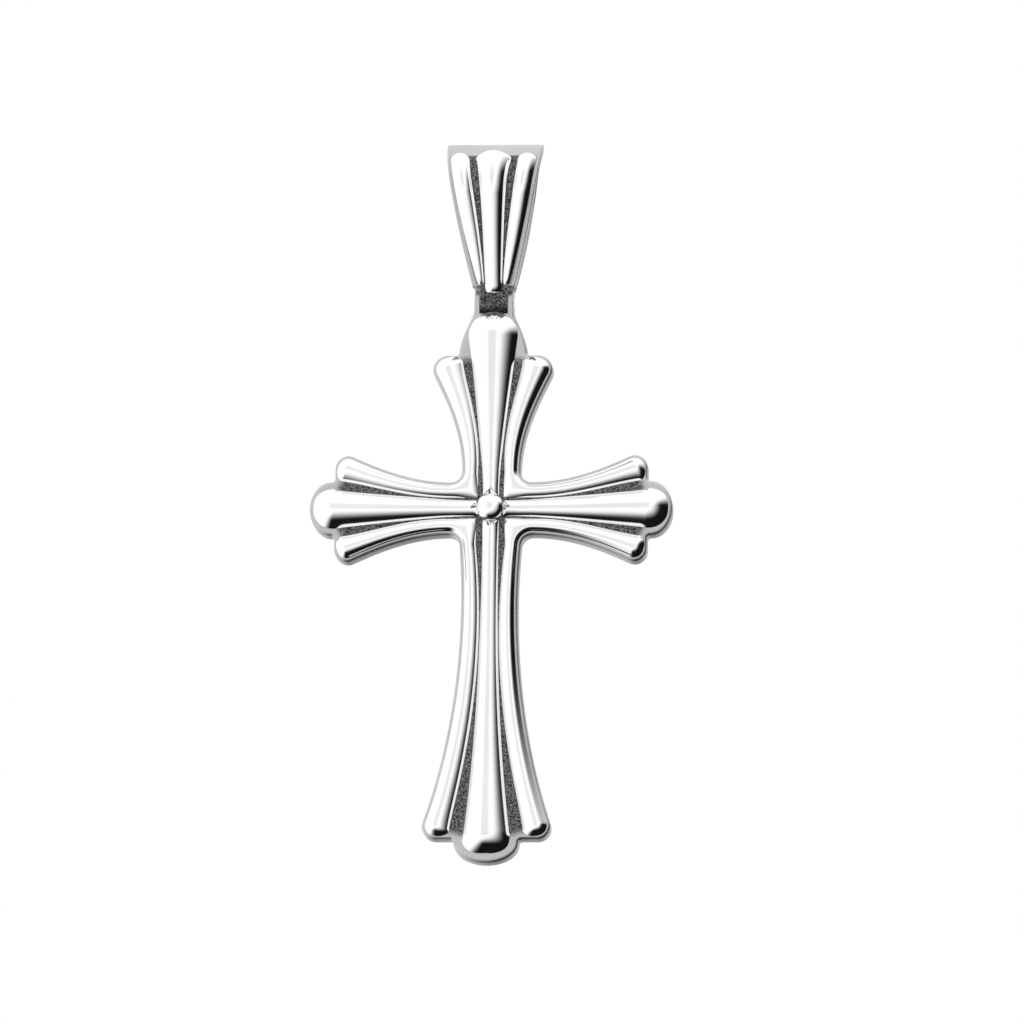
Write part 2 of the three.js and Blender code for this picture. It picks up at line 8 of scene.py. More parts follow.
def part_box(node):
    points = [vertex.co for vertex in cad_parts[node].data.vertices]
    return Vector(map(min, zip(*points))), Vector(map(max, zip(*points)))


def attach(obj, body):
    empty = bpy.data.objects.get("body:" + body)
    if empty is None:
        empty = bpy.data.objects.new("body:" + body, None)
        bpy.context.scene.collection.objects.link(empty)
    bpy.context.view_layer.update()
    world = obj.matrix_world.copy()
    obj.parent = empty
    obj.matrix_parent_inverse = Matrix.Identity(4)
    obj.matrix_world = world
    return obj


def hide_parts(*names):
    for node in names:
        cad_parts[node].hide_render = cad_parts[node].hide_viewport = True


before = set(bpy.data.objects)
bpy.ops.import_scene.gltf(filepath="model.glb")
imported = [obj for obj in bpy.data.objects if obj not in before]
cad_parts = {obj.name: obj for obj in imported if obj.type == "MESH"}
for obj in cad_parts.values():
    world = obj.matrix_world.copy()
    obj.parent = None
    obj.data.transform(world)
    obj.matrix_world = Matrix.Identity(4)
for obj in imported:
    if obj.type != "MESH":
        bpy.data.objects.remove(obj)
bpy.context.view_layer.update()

# ---- Where the pieces go ----
# The bail is measured from the chain seat at the origin and from the hinge pin, the cross from its
# crossing. All lengths below are millimetres until they go into a mesh.

MM = 0.001


def middle(node):
    low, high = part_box(node)
    return (low + high) / 2 / MM


def low_corner(node):
    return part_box(node)[0] / MM


def high_corner(node):
    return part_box(node)[1] / MM


crossing_up = middle("boss_stud").z
hinge_up = middle("hinge_pin").z
plate_back = high_corner("boss_stud").y
plate_face = -plate_back


# ---- Metals ----
# One white metal in three states: mirror polish on the domes and flutes, a satin rub on the rim and
# the strap, and the grain of the casting left in the sunk ground between the mouldings. That ground
# is also coloured near black, as painted shade in the recesses.


def plug(tree, source, socket):
    if isinstance(source, bpy.types.NodeSocket):
        tree.links.new(source, socket)
    elif source is not None:
        socket.default_value = source


def put(tree, kind, sources=(), **settings):
    """A new node with its sources plugged into its inputs in order."""
    node = tree.nodes.new(kind)
    for name, value in settings.items():
        setattr(node, name, value)
    for socket, source in zip([s for s in node.inputs if s.enabled], sources):
        plug(tree, source, socket)
    return node


def result(node):
    return next(socket for socket in node.outputs if socket.enabled)


def reckon(tree, operation, *sources):
    return result(put(tree, "ShaderNodeMath", sources, operation=operation))


def blend_colours(tree, share, first, second):
    return result(put(tree, "ShaderNodeMix", (share, first, second), data_type="RGBA"))


def blend_values(tree, share, first, second):
    return result(put(tree, "ShaderNodeMix", (share, first, second), data_type="FLOAT"))


def value_group(name, inputs, outputs):
    tree = bpy.data.node_groups.new(name, "ShaderNodeTree")
    for label, value in inputs.items():
        made = tree.interface.new_socket(label, in_out="INPUT", socket_type="NodeSocketFloat")
        made.default_value = value
    for label in outputs:
        tree.interface.new_socket(label, in_out="OUTPUT", socket_type="NodeSocketFloat")
    return tree, tree.nodes.new("NodeGroupInput"), tree.nodes.new("NodeGroupOutput")


def fine_wear_group():
    """Hairlines of a piece worn against cloth, and the faint cloud left by a polishing wheel."""
    tree, given, done = value_group(
        "fine_wear", {"Hairline Scale": 700.0, "Cloud Scale": 140.0}, ("Height", "Cloud"))
    place = put(tree, "ShaderNodeTexCoord").outputs["Object"]
    height = None
    for turn, stretch in ((0.4, 0.05), (1.3, 0.07), (-0.6, 0.06)):
        turned = put(tree, "ShaderNodeMapping", (place, None, (0, turn, 0), (1, 1, stretch)))
        line = result(put(
            tree, "ShaderNodeTexNoise", (result(turned), given.outputs["Hairline Scale"], 1.0)))
        thin = result(put(tree, "ShaderNodeMapRange", (line, 0.68, 0.76, 0.0, -1.0)))
        height = thin if height is None else reckon(tree, "ADD", height, thin)
    cloud = put(tree, "ShaderNodeTexNoise", (place, given.outputs["Cloud Scale"], 4.0))
    plug(tree, height, done.inputs["Height"])
    plug(tree, result(cloud), done.inputs["Cloud"])
    return tree


def cast_grain_group():
    """Close-set pits of a cast ground, at about a tenth of a millimetre."""
    tree, given, done = value_group("cast_grain", {"Grain Scale": 6500.0}, ("Height", "Pits"))
    place = put(tree, "ShaderNodeTexCoord").outputs["Object"]
    grain = result(put(tree, "ShaderNodeTexNoise", (place, given.outputs["Grain Scale"], 3.0, 0.7)))
    pits = result(put(tree, "ShaderNodeMapRange", (grain, 0.4, 0.62, 0.0, 1.0)))
    plug(tree, grain, done.inputs["Height"])
    plug(tree, pits, done.inputs["Pits"])
    return tree


fine_wear = fine_wear_group()
cast_grain = cast_grain_group()


def white_metal(name):
    made = bpy.data.materials.new(name)
    made.use_nodes = True
    shader = made.node_tree.nodes["Principled BSDF"]
    shader.inputs["Metallic"].default_value = 1.0
    return made, made.node_tree, shader


def finish_metal(tree, shader, colour, rough, height, strength, depth):
    bump = put(tree, "ShaderNodeBump")
    bump.inputs["Strength"].default_value = strength
    bump.inputs["Distance"].default_value = depth * MM
    plug(tree, height, bump.inputs["Height"])
    plug(tree, colour, shader.inputs["Base Color"])
    plug(tree, rough, shader.inputs["Roughness"])
    plug(tree, result(bump), shader.inputs["Normal"])


def polished_metal():
    made, tree, shader = white_metal("mirror_polish")
    wear = put(tree, "ShaderNodeGroup", node_tree=fine_wear)
    cloud = result(put(tree, "ShaderNodeMapRange", (wear.outputs["Cloud"], 0.3, 0.7, 0.0, 1.0)))
    colour = blend_colours(tree, cloud, (0.90, 0.905, 0.91, 1), (0.96, 0.96, 0.96, 1))
    rough = blend_values(tree, cloud, 0.05, 0.11)
    finish_metal(tree, shader, colour, rough, wear.outputs["Height"], 0.12, 0.002)
    return made


def satin_metal():
    """Where the attribute ground is 1, the satin gives way to the cast grain, coloured near black as
    painted shade in the recesses.
    """
    made, tree, shader = white_metal("satin_and_shaded_ground")
    wear = put(tree, "ShaderNodeGroup", (1600.0, 300.0), node_tree=fine_wear)
    grain = put(tree, "ShaderNodeGroup", node_tree=cast_grain)
    ground = put(tree, "ShaderNodeAttribute", attribute_name="ground").outputs["Fac"]
    cloud = result(put(tree, "ShaderNodeMapRange", (wear.outputs["Cloud"], 0.3, 0.7, 0.0, 1.0)))
    rubbed = blend_colours(tree, cloud, (0.54, 0.544, 0.55, 1), (0.66, 0.66, 0.66, 1))
    # Painted shade: the sunk ground is coloured near black, and the cast grain's pits vary that colour.
    shaded_pits = blend_colours(tree, grain.outputs["Pits"], (0.02, 0.02, 0.021, 1), (0.3, 0.3, 0.3, 1))
    colour = blend_colours(tree, ground, rubbed, shaded_pits)
    rough = blend_values(tree, ground, blend_values(tree, cloud, 0.46, 0.56), 0.6)
    deep = reckon(tree, "MULTIPLY", grain.outputs["Height"], ground)
    fine = reckon(tree, "MULTIPLY", grain.outputs["Height"], 0.12)
    height = reckon(tree, "ADD", deep, fine)
    finish_metal(tree, shader, colour, rough, height, 0.5, 0.06)
    return made


polish = polished_metal()
satin = satin_metal()


# ---- Back plate ----
# One cast plate with the whole outline: four flared arms, each ending in a middle lobe between two
# side lobes. Its edge is rubbed round to a satin rim, and two cheeks on its neck hold the hinge pin.

RIM = 0.26
EDGE_ROUND = 0.3
CROSSING_FILLET = 0.9
NOTCH_FILLET = 0.28
LAID_GAP = 0.02
TOP_LOBE_DROP = 0.92
NECK_LENGTH = 1.4
NECK_BEND_START = 0.55
NECK_BEND_END = 0.72
NECK_EASE = 0.3
NECK_EDGE_ROUND = 0.07
SHANK_RADIUS = 0.35
HINGE_PLAY = 0.04
TOOL_REACH = 5
TOOL_LENGTH = 8
HAIR = 0.01
GROUND_FROM = 0.4
GROUND_FADE = 0.3
NOTCH_FADE = 0.5
cheek_out = high_corner("hinge_pin").x
knuckle_half = 1.08
knuckle_radius = hinge_up - low_corner("bail_loop").z
hinge_air = 0.12
pin_radius = high_corner("hinge_pin").y

ARMS = {
    "up": dict(
        reach=hinge_up - TOP_LOBE_DROP - crossing_up, setback=4.57, spread=3.53, lobe=1.12, flare=26.6,
        root=2.27, waist=2.27, root_handle=2.9, flare_handle=2.2, notch=2.64,
        rib_lobe=1.92, rib_widest=1.95, rib_swell=1.1, rib_blunt=2.0, rib_height=1.0, edge_swell=1.2,
        end_rim=0.0),
    "down": dict(
        reach=crossing_up - low_corner("back_plate").z, setback=2.86, spread=3.95, lobe=1.02, flare=18.0,
        root=2.38, waist=1.43, root_handle=11.9, flare_handle=1.55, notch=2.5,
        rib_lobe=1.86, rib_widest=2.1, rib_swell=2.6, rib_blunt=2.7, rib_height=1.0, edge_swell=0.8,
        end_rim=0.7),
    "side": dict(
        reach=high_corner("back_plate").x, setback=2.95, spread=3.2, lobe=1.0, flare=25.0,
        root=2.09, waist=2.09, root_handle=2.9, flare_handle=2.1, notch=2.13,
        rib_lobe=1.6, rib_widest=1.9, rib_swell=1.25, rib_blunt=2.2, rib_height=1.0, edge_swell=1.8,
        end_rim=0.3),
}


def mix(low, high, share):
    return low + (high - low) * share


def bezier(start, bend, late, end, share):
    """A point on a cubic curve in the plane, and its heading."""
    back = 1 - share
    point = start * back**3 + bend * (3 * back**2 * share)
    point = point + late * (3 * back * share**2) + end * share**3
    slope = (bend - start) * back**2 + (late - bend) * (2 * back * share) + (end - late) * share**2
    return point, slope.normalized()


def arm_edge(arm, start, share):
    """The edge of a half arm from root to side lobe: x runs along the arm, y out from its axis."""
    flare = math.radians(arm["flare"])
    forward = Vector((math.cos(flare), math.sin(flare)))
    meets = Vector((arm["reach"] - arm["setback"], arm["spread"]))
    meets += Vector((-forward.y, forward.x)) * arm["lobe"]
    return bezier(
        Vector((start, arm["root"])), Vector((start + arm["root_handle"], arm["waist"])),
        meets - forward * arm["flare_handle"], meets, share)


def arc(centre, across, up, from_deg, to_deg, steps):
    turns = (math.radians(mix(from_deg, to_deg, i / steps)) for i in range(steps + 1))
    return [Vector((centre[0] + across * math.cos(a), centre[1] + up * math.sin(a))) for a in turns]


def half_arm(arm, start, ends_in_cheek):
    edge_steps, lobe_steps, notch_steps, end_steps, neck_steps = 60, 36, 10, 40, 30
    lobe = Vector((arm["reach"] - arm["setback"], arm["spread"]))
    foot = lobe.x + arm["lobe"] + NOTCH_FILLET
    hollow = (foot, arm["notch"] + NOTCH_FILLET)
    edge = [arm_edge(arm, start, i / edge_steps)[0] for i in range(edge_steps)]
    edge += arc(lobe, arm["lobe"], arm["lobe"], 90 + arm["flare"], 0, lobe_steps)
    edge += arc(hollow, NOTCH_FILLET, NOTCH_FILLET, -180, -90, notch_steps)[1:]
    if not ends_in_cheek:
        return edge + arc((foot, 0), arm["reach"] - foot, arm["notch"], 90, 0, end_steps)[1:]
    top = hinge_up - crossing_up - knuckle_radius / 2
    near, end = Vector((foot, arm["notch"])), Vector((top, cheek_out))
    bend = Vector((mix(foot, top, NECK_BEND_START), arm["notch"] - NECK_EASE))
    late = Vector((mix(foot, top, NECK_BEND_END), cheek_out))
    edge += [bezier(near, bend, late, end, i / neck_steps)[0] for i in range(1, neck_steps + 1)]
    return edge + [Vector((top, 0))]


def quarter(name, v_sign, h_sign):
    up, side = ARMS[name], ARMS["side"]
    start_up, start_out = side["root"] + CROSSING_FILLET, up["root"] + CROSSING_FILLET
    corner = arc((start_out, start_up), CROSSING_FILLET, CROSSING_FILLET, -90, -180, 16)
    points = half_arm(side, start_out, False)[::-1] + corner[1:-1]
    points += [p.yx for p in half_arm(up, start_up, name == "up")]
    return [Vector((p.x * h_sign, p.y * v_sign)) for p in points]


plate_outline = (
    quarter("up", 1, 1) + quarter("up", 1, -1)[-2::-1]
    + quarter("down", -1, -1)[1:] + quarter("down", -1, 1)[-2:0:-1])


def inset(outline, amount):
    """The outline drawn in by an amount. It runs anticlockwise."""
    drawn = []
    for i, point in enumerate(outline):
        heading = (outline[(i + 1) % len(outline)] - outline[i - 1]).normalized()
        drawn.append(point + Vector((-heading.y, heading.x)) * amount)
    return drawn


def rounded_rims(depth_from, depth_to, radius, steps):
    """(inset, depth) of each ring of a slab whose two edges are rounded."""
    turns = [math.pi / 2 * i / steps for i in range(steps + 1)]
    sign = 1 if depth_to > depth_from else -1
    first = [(radius * (1 - math.sin(t)), depth_from + sign * radius * (1 - math.cos(t))) for t in turns]
    last = [(radius * (1 - math.cos(t)), depth_to - sign * radius * (1 - math.sin(t))) for t in turns]
    return first + last


def ring_wall(bm, rings):
    for near, far in zip(rings, rings[1:]):
        for i in range(len(near)):
            bm.faces.new((near[i - 1], near[i], far[i], far[i - 1]))


def slab(outline, depth_from, depth_to, radius, steps, place, last_face=True):
    """A plate of an outline with rounded edges; place turns (point, depth) into a position."""
    bm = bmesh.new()
    rings = [
        [bm.verts.new(place(p, depth) * MM) for p in inset(outline, amount)]
        for amount, depth in rounded_rims(depth_from, depth_to, radius, steps)]
    ring_wall(bm, rings)
    bm.faces.new(rings[0])
    if last_face:
        bm.faces.new(rings[-1])
    return bm, rings[-1]


def piece_from(name, bm, material):
    bmesh.ops.remove_doubles(bm, verts=bm.verts, dist=0.0002 * MM)
    bmesh.ops.recalc_face_normals(bm, faces=bm.faces)
    mesh = bpy.data.meshes.new(name)
    bm.to_mesh(mesh)
    bm.free()
    made = bpy.data.objects.new(name, mesh)
    bpy.context.scene.collection.objects.link(made)
    mesh.materials.append(material)
    return made


def round_tool(radius, centre, axis):
    bm = bmesh.new()
    bmesh.ops.create_cone(
        bm, cap_ends=True, segments=48, radius1=radius * MM, radius2=radius * MM,
        depth=TOOL_LENGTH * MM)
    turn = Vector((0, 0, 1)).rotation_difference(Vector(axis)).to_matrix().to_4x4()
    bmesh.ops.transform(bm, verts=bm.verts, matrix=Matrix.Translation(Vector(centre) * MM) @ turn)
    return piece_from("tool", bm, satin)


def block_tool(low, high):
    bm = bmesh.new()
    bmesh.ops.create_cube(bm, size=1)
    size = (Vector(high) - Vector(low)) * MM
    centre = (Vector(high) + Vector(low)) / 2 * MM
    bmesh.ops.transform(
        bm, verts=bm.verts, matrix=Matrix.Translation(centre) @ Matrix.Diagonal(size).to_4x4())
    return piece_from("tool", bm, satin)


def plain_mesh(made):
    """Applies the modifiers and leaves a plain mesh."""
    evaluated = made.evaluated_get(bpy.context.evaluated_depsgraph_get())
    finished = bpy.data.meshes.new_from_object(evaluated)
    made.modifiers.clear()
    made.data = finished
    return made


def carve(made, tools, operation):
    for tool in tools:
        modifier = made.modifiers.new("carve", "BOOLEAN")
        modifier.solver = "EXACT"
        modifier.operation = operation
        modifier.object = tool
    plain_mesh(made)
    for tool in tools:
        bpy.data.objects.remove(tool)


def hand_over(made, material, body, slot, *nodes):
    """Smooths the finished piece, dresses it and fixes it to its body in place of its CAD nodes."""
    bm = bmesh.new()
    bm.from_mesh(made.data)
    bmesh.ops.recalc_face_normals(bm, faces=bm.faces)
    bm.to_mesh(made.data)
    bm.free()
    made.data.materials.clear()
    made.data.materials.append(material)
    for face in made.data.polygons:
        face.material_index = 0
        face.use_smooth = True
    made.data.set_sharp_from_angle(angle=math.radians(38))
    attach(made, body)
    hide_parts(*nodes)


def ground_share(x, up, gap):
    """1 on the sunk ground, 0 on the rim and past the notches, by the gap to the edge. Where it is 1 the
    plate is coloured with painted shade.
    """
    arm = ARMS["side"] if abs(x) > abs(up) else ARMS["up" if up > 0 else "down"]
    notch = arm["reach"] - arm["setback"] + arm["lobe"]
    inside = min(1.0, max(0.0, (gap - GROUND_FROM) / GROUND_FADE))
    before = min(1.0, max(0.0, (notch - max(abs(x), abs(up))) / NOTCH_FADE))
    return inside * before


def front_place(point, depth):
    return Vector((point.x, depth, point.y + crossing_up))


def dress_plate_front(bm, ring):
    """Fills the plate's front with an even net, so that the ground can end where the rim starts."""
    edge = [Vector((v.co.x, v.co.z)) / MM - Vector((0, crossing_up)) for v in ring]
    tree = kdtree.KDTree(len(edge))
    for i, point in enumerate(edge):
        tree.insert((point.x, point.y, 0), i)
    tree.balance()
    inner = inset(edge, 1)
    pitch = 0.3
    reach_out, reach_up, reach_down = ARMS["side"]["reach"], ARMS["up"]["reach"], ARMS["down"]["reach"]
    spots = []
    for i in range(int(-reach_out / pitch), int(reach_out / pitch) + 1):
        for j in range(int(-reach_down / pitch), int((reach_up + 1) / pitch) + 1):
            spot = Vector((i * pitch, (j + 0.5 * (i % 2)) * pitch))
            _, near, gap = tree.find((spot.x, spot.y, 0))
            if gap > pitch / 2 and (spot - edge[near]).dot(inner[near] - edge[near]) > 0:
                spots.append(spot)
    count = len(edge)
    links = [(i, (i + 1) % count) for i in range(count)]
    points, _, faces, _, _, _ = geometry.delaunay_2d_cdt(edge + spots, links, [], 1, 1e-6)
    net = list(ring) + [bm.verts.new(front_place(p, plate_face) * MM) for p in points[count:]]
    for corners in faces:
        bm.faces.new([net[c] for c in corners])


def neck_place(point, depth):
    return Vector((depth, point.x, point.y + hinge_up))


bm, front_ring = slab(
    plate_outline, plate_back, plate_face, EDGE_ROUND, 6, front_place, last_face=False)
dress_plate_front(bm, front_ring)
plate = piece_from("plate", bm, satin)
slot_half = knuckle_half + HINGE_PLAY
slot_floor = hinge_up - knuckle_radius - hinge_air
over_pin = arc((0, 0), knuckle_radius, knuckle_radius, 0, 180, 32)
foot = [Vector((plate_face + HAIR, -NECK_LENGTH)), Vector((-plate_face - HAIR, -NECK_LENGTH))]
neck, _ = slab(over_pin + foot, -cheek_out, cheek_out, NECK_EDGE_ROUND, 3, neck_place)
carve(plate, [piece_from("neck", neck, satin)], "UNION")
carve(plate, [
    block_tool((-slot_half, -TOOL_REACH, slot_floor), (slot_half, TOOL_REACH, hinge_up + TOOL_REACH)),
    round_tool(pin_radius + LAID_GAP, (0, 0, hinge_up), (1, 0, 0)),
    round_tool(SHANK_RADIUS + LAID_GAP, (0, 0, crossing_up), (0, 1, 0)),
], "DIFFERENCE")
edge_finder = kdtree.KDTree(len(plate_outline))
for i, point in enumerate(plate_outline):
    edge_finder.insert((point.x, point.y, 0), i)
edge_finder.balance()
# The ground attribute places the painted shade of the sunk ground between the mouldings, over the cast
# grain.
ground = plate.data.attributes.new("ground", "FLOAT", "POINT")
for i, vertex in enumerate(plate.data.vertices):
    x, up = vertex.co.x / MM, vertex.co.z / MM - crossing_up
    on_front = vertex.co.y / MM < plate_face + HAIR
    gap = edge_finder.find((x, up, 0))[2]
    ground.data[i].value = ground_share(x, up, gap) if on_front else 0.0
hand_over(plate, satin, "cross", "satin", "back_plate")


# ---- Middle mouldings of the arms ----
# Four domed ribs laid on the plate, each notched over a point of the boss seat at one end and
# swelling to a rounded lobe at the other. All the mouldings are laid by one geometry node tree.

CORNER_RIB_HALF = 0.39
CORNER_RIB_HEIGHT = 0.34
CROWN = 2.0
SEAT_REACH = 1.58
RIB_NOTCH = 0.64
OFF_PLATE = Vector((0, -1, 0))
STATION_VECTORS = ("leftward", "off", "heading")
STATION_LENGTHS = ("left", "right", "rise")


def moulding_tree():
    """Lays a closed domed section at every station of a spine.

    Each point of the spine carries its leftward, off and heading directions, its half widths left
    and right, its rise, and the share by which its flanks are swept back."""
    tree = bpy.data.node_groups.new("lay_moulding", "GeometryNodeTree")
    for label, kind in (
        ("Spine", "NodeSocketGeometry"), ("Section Points", "NodeSocketInt"),
        ("Seam", "NodeSocketFloat"), ("Fullness", "NodeSocketFloat"), ("Metal", "NodeSocketMaterial"),
    ):
        tree.interface.new_socket(label, in_out="INPUT", socket_type=kind)
    tree.interface.new_socket("Moulding", in_out="OUTPUT", socket_type="NodeSocketGeometry")
    given, done = tree.nodes.new("NodeGroupInput"), tree.nodes.new("NodeGroupOutput")
    spine, points = given.outputs["Spine"], given.outputs["Section Points"]
    size = put(tree, "GeometryNodeAttributeDomainSize", (spine,), component="MESH")
    net = put(tree, "GeometryNodeMeshGrid", (1.0, 1.0, size.outputs["Point Count"], points))
    index = result(put(tree, "GeometryNodeInputIndex"))
    station = reckon(tree, "FLOOR", reckon(tree, "DIVIDE", reckon(tree, "ADD", index, 0.5), points))
    step = reckon(tree, "SUBTRACT", index, reckon(tree, "MULTIPLY", station, points))
    share = reckon(tree, "DIVIDE", step, reckon(tree, "SUBTRACT", points, 1.0))
    turn = reckon(tree, "MULTIPLY", share, math.tau)
    across, up = reckon(tree, "COSINE", turn), reckon(tree, "MAXIMUM", reckon(tree, "SINE", turn), 0.0)

    def at_station(field, kind):
        return result(put(tree, "GeometryNodeSampleIndex", (spine, field, station), data_type=kind))

    def carried(name, kind):
        named = put(tree, "GeometryNodeInputNamedAttribute", (name,), data_type=kind)
        return at_station(result(named), kind)

    def scaled(name, amount):
        return result(put(
            tree, "ShaderNodeVectorMath", (carried(name, "FLOAT_VECTOR"), amount), operation="SCALE"))

    def added(first, second):
        return result(put(tree, "ShaderNodeVectorMath", (first, second), operation="ADD"))

    to_left = reckon(tree, "MULTIPLY", reckon(tree, "MAXIMUM", across, 0.0), carried("left", "FLOAT"))
    to_right = reckon(tree, "MULTIPLY", reckon(tree, "MINIMUM", across, 0.0), carried("right", "FLOAT"))
    aside = reckon(tree, "ADD", to_left, to_right)
    height = reckon(
        tree, "MULTIPLY", carried("rise", "FLOAT"), reckon(tree, "POWER", up, given.outputs["Fullness"]))
    height = reckon(tree, "ADD", height, given.outputs["Seam"])
    back = reckon(tree, "MULTIPLY", reckon(tree, "ABSOLUTE", aside), carried("sweep", "FLOAT"))
    place = at_station(result(put(tree, "GeometryNodeInputPosition")), "FLOAT_VECTOR")
    place = added(place, scaled("leftward", aside))
    place = added(place, scaled("off", height))
    place = added(place, scaled("heading", reckon(tree, "MULTIPLY", back, -1.0)))
    laid = put(tree, "GeometryNodeSetPosition", (result(net), True, place))
    closed = put(tree, "GeometryNodeMergeByDistance", (result(laid),))
    closed.inputs["Distance"].default_value = 0.0005 * MM
    real = put(tree, "GeometryNodeRealizeInstances", (result(closed),))
    dressed = put(tree, "GeometryNodeSetMaterial", (result(real), True, given.outputs["Metal"]))
    plug(tree, result(dressed), done.inputs["Moulding"])
    return tree


laying = moulding_tree()


def lay_moulding(name, stations, fullness=CROWN, section_points=41):
    spine = bpy.data.meshes.new(name)
    spine.from_pydata([s["place"] * MM for s in stations], [], [])
    for key in STATION_VECTORS:
        values = [number for s in stations for number in s[key]]
        spine.attributes.new(key, "FLOAT_VECTOR", "POINT").data.foreach_set("vector", values)
    for key in STATION_LENGTHS:
        values = [s[key] * MM for s in stations]
        spine.attributes.new(key, "FLOAT", "POINT").data.foreach_set("value", values)
    sweeps = [s.get("sweep", 0.0) for s in stations]
    spine.attributes.new("sweep", "FLOAT", "POINT").data.foreach_set("value", sweeps)
    made = bpy.data.objects.new(name, spine)
    bpy.context.scene.collection.objects.link(made)
    modifier = made.modifiers.new("lay", "NODES")
    modifier.node_group = laying
    settings = {
        "Section Points": section_points, "Seam": LAID_GAP * MM, "Fullness": fullness, "Metal": polish}
    for item in laying.interface.items_tree:
        if item.name in settings:
            modifier[item.identifier] = settings[item.name]
    return plain_mesh(made)


def smooth_share(value, low, high):
    share = min(1.0, max(0.0, (value - low) / (high - low)))
    return share * share * (3 - 2 * share)


def on_plate(x, up):
    return Vector((x, plate_face, crossing_up + up))


def middle_rib(arm, turn):
    start = SEAT_REACH + LAID_GAP
    end = arm["reach"] - arm["end_rim"]
    widest = arm["reach"] - arm["rib_widest"]
    heading = Vector((math.sin(turn), 0, math.cos(turn)))
    leftward = OFF_PLATE.cross(heading)
    stations = [dict(
        place=on_plate(0, 0) + heading * start, leftward=leftward, off=OFF_PLATE, heading=heading,
        left=0.0, right=0.0, rise=0.0)]
    body, tail = 110, 40
    reaches = [mix(start, widest, (i / body) ** 1.2) for i in range(body)]
    reaches += [mix(widest, end, math.sin(math.pi / 2 * i / tail)) for i in range(tail + 1)]
    for reach in reaches:
        free = (min(reach, widest) - start - RIB_NOTCH) / (widest - start - RIB_NOTCH)
        swell = max(0.0, free) ** arm["rib_swell"]
        past = min(1.0, max(0.0, (reach - widest) / (end - widest)))
        rounding = (1 - past ** arm["rib_blunt"]) ** (1 / arm["rib_blunt"])
        half = mix(RIB_NOTCH, arm["rib_lobe"], swell) * rounding
        rise = mix(CORNER_RIB_HEIGHT, arm["rib_height"], swell) * (1 - past**CROWN)
        stations.append(dict(
            place=on_plate(0, 0) + heading * reach, leftward=leftward, off=OFF_PLATE, heading=heading,
            left=half, right=half, rise=rise,
            sweep=1 - smooth_share(reach, start, start + 3 * RIB_NOTCH)))
    return stations


for place, arm, turn in (
    ("up", "up", 0), ("right", "side", math.pi / 2),
    ("down", "down", math.pi), ("left", "side", -math.pi / 2),
):
    made = lay_moulding("middle_rib_" + place, middle_rib(ARMS[arm], turn))
    hand_over(made, polish, "cross", "polished", "centre_rib_" + place)


# ---- Corner mouldings ----
# Four thinner ribs, each bent round one corner of the crossing and running out along both arms'
# edges to a small rounded lobe. Where it turns, its inner side is drawn out to a mitred corner.

CORNER_LOBE_HEIGHT = 0.56
CORNER_INNER_EXTRA = 0.22
CORNER_INNER_SWELL = 0.55
CORNER_INNER_LATE = 4


def corner_run(arm, start):
    """Half of the run, from the lobe's end to the arm's root: (place, heading, outer, inner, rise)."""
    lobe_half = arm["lobe"] - RIM
    flare = math.radians(arm["flare"])
    forward = Vector((math.cos(flare), math.sin(flare)))
    lobe = Vector((arm["reach"] - arm["setback"], arm["spread"]))
    run = []
    rounding, body = 24, 70
    for i in range(rounding):
        turn = math.pi / 2 * i / rounding
        share = math.sin(turn)
        run.append((lobe + forward * lobe_half * math.cos(turn), forward, lobe_half * share,
                    lobe_half * (1 + CORNER_INNER_SWELL) * share, CORNER_LOBE_HEIGHT * share**CROWN))
    for i in range(body + 1):
        share = 1 - i / body
        point, heading = arm_edge(arm, start, share)
        swell = share ** arm["edge_swell"]
        half = mix(CORNER_RIB_HALF, lobe_half, swell)
        inward = Vector((heading.y, -heading.x))
        fuller = mix(CORNER_INNER_EXTRA, CORNER_INNER_SWELL * lobe_half, share**CORNER_INNER_LATE)
        run.append((point + inward * (RIM + half), heading, half, half + fuller,
                    mix(CORNER_RIB_HEIGHT, CORNER_LOBE_HEIGHT, swell)))
    return run


def corner_rib(vertical, v_sign, h_sign):
    start_up = ARMS["side"]["root"] + CROSSING_FILLET
    start_out = vertical["root"] + CROSSING_FILLET
    swap = h_sign * v_sign < 0
    stations = []

    def station(point, heading, left, right, rise):
        heading = Vector((heading.x * h_sign, 0, heading.y * v_sign))
        stations.append(dict(
            place=on_plate(point.x * h_sign, point.y * v_sign), heading=heading,
            leftward=OFF_PLATE.cross(heading).normalized(), off=OFF_PLATE,
            left=right if swap else left, right=left if swap else right, rise=rise))

    for point, heading, outer, within, rise in corner_run(vertical, start_up):
        station(point.yx, -heading.yx, outer, within, rise)
    crest = CROSSING_FILLET + RIM + CORNER_RIB_HALF
    inner = crest + CORNER_RIB_HALF + CORNER_INNER_EXTRA
    steps = 32
    for i in range(1, steps):
        turn = math.pi / 2 * i / steps
        point = Vector((start_out - crest * math.cos(turn), start_up - crest * math.sin(turn)))
        to_corner = inner / max(math.cos(turn), math.sin(turn)) - crest
        station(point, Vector((math.sin(turn), -math.cos(turn))), CORNER_RIB_HALF, to_corner,
                CORNER_RIB_HEIGHT)
    for point, heading, outer, within, rise in reversed(corner_run(ARMS["side"], start_out)):
        station(point, heading, outer, within, rise)
    return stations


for place, arm, v_sign in (("upper", "up", 1), ("lower", "down", -1)):
    for side, h_sign in (("right", 1), ("left", -1)):
        made = lay_moulding(f"edge_rib_{place}_{side}", corner_rib(ARMS[arm], v_sign, h_sign))
        hand_over(made, polish, "cross", "polished", f"corner_rib_{place}_{side}")


# ---- Boss seat ----
# A four-pointed plate under the stud, its points on the arms' axes between the notched ribs. It
# slopes up nearly straight to the ring under the dome, and is bored for the stud's shank.

